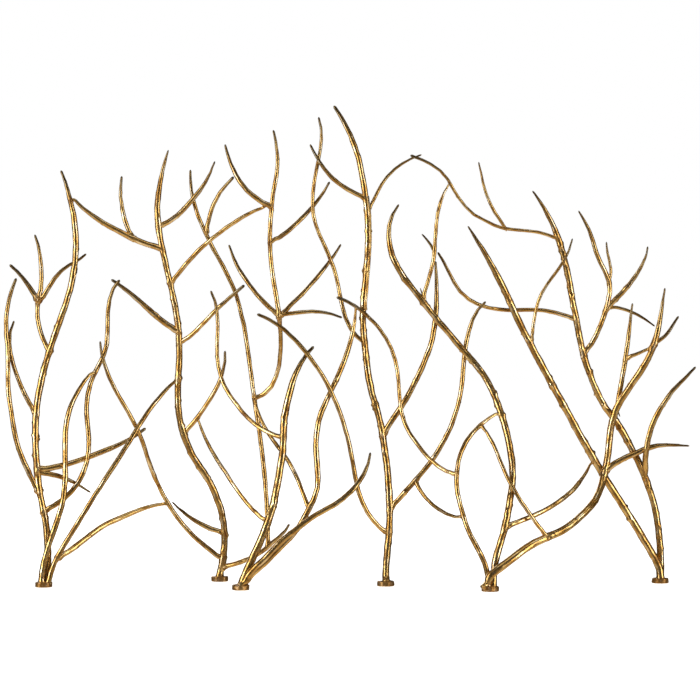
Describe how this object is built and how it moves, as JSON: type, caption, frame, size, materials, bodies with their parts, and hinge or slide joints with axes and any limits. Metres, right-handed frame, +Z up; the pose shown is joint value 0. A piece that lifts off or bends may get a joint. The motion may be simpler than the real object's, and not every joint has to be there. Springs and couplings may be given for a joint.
{
  "type": "fireplace screen",
  "caption": "Free-standing fireplace screen of forged, gilded iron branches that cross and fork like bare twigs, standing on small round feet.",
  "frame": {"origin": "centre of the screen's footprint, on the floor that its feet stand on", "axes": "+X along the width to the right of someone facing the screen, -Y towards the room, +Z up"},
  "size_m": [1.2178, 0.228, 0.8475],
  "materials": {
    "gilded_iron": "antique gold leaf over hammered iron, rubbed brown in the hollows",
    "gilded_foot": "antique gold leaf over hammered iron, worn at the rims"
  },
  "bodies": {
    "root": {"centre_foot": "gilded_foot", "centre_left_limb": "gilded_iron", "centre_left_long_branch": "gilded_iron", "centre_left_upper_branch": "gilded_iron", "centre_right_low_branch": "gilded_iron", "centre_right_upright_branch": "gilded_iron", "centre_trunk": "gilded_iron", "crossing_switch": "gilded_iron", "far_left_cross_branch": "gilded_iron", "far_left_foot": "gilded_foot", "far_left_fork_stem": "gilded_iron", "far_left_front_limb": "gilded_iron", "far_left_long_limb": "gilded_iron", "far_left_low_brace": "gilded_iron", "far_left_outer_branch": "gilded_iron", "far_left_s_branch": "gilded_iron", "far_left_trunk": "gilded_iron", "far_right_cross_branch": "gilded_iron", "far_right_crown_branch": "gilded_iron", "far_right_crown_prong": "gilded_iron", "far_right_foot": "gilded_foot", "far_right_inner_upright": "gilded_iron", "far_right_leaning_limb": "gilded_iron", "far_right_low_arm": "gilded_iron", "far_right_outer_branch": "gilded_iron", "far_right_thin_arm": "gilded_iron", "far_right_top_arch": "gilded_iron", "far_right_trunk": "gilded_iron", "far_right_upright_branch": "gilded_iron", "fork_stem": "gilded_iron", "fork_tall_prong": "gilded_iron", "inner_prongs": "gilded_iron", "left_front_cross_branch": "gilded_iron", "left_front_foot": "gilded_foot", "left_front_low_limb": "gilded_iron", "left_front_side_branch": "gilded_iron", "left_front_tall_stem": "gilded_iron", "left_front_trunk": "gilded_iron", "left_front_wavy_limb": "gilded_iron", "left_rear_bud_branch": "gilded_iron", "left_rear_crown_branch": "gilded_iron", "left_rear_foot": "gilded_foot", "left_rear_inner_branch": "gilded_iron", "left_rear_long_side_branch": "gilded_iron", "left_rear_low_brace": "gilded_iron", "left_rear_right_branch": "gilded_iron", "left_rear_thin_limb": "gilded_iron", "left_rear_trunk": "gilded_iron", "left_rear_upper_branch": "gilded_iron", "left_side_twigs": "gilded_iron", "middle_twigs": "gilded_iron", "outer_prongs": "gilded_iron", "right_front_foot": "gilded_foot", "right_front_inner_limb": "gilded_iron", "right_front_long_limb": "gilded_iron", "right_front_low_branch": "gilded_iron", "right_front_outer_limb": "gilded_iron", "right_front_top_branch": "gilded_iron", "right_side_twigs": "gilded_iron", "short_prongs": "gilded_iron"}
  },
  "joints": []
}
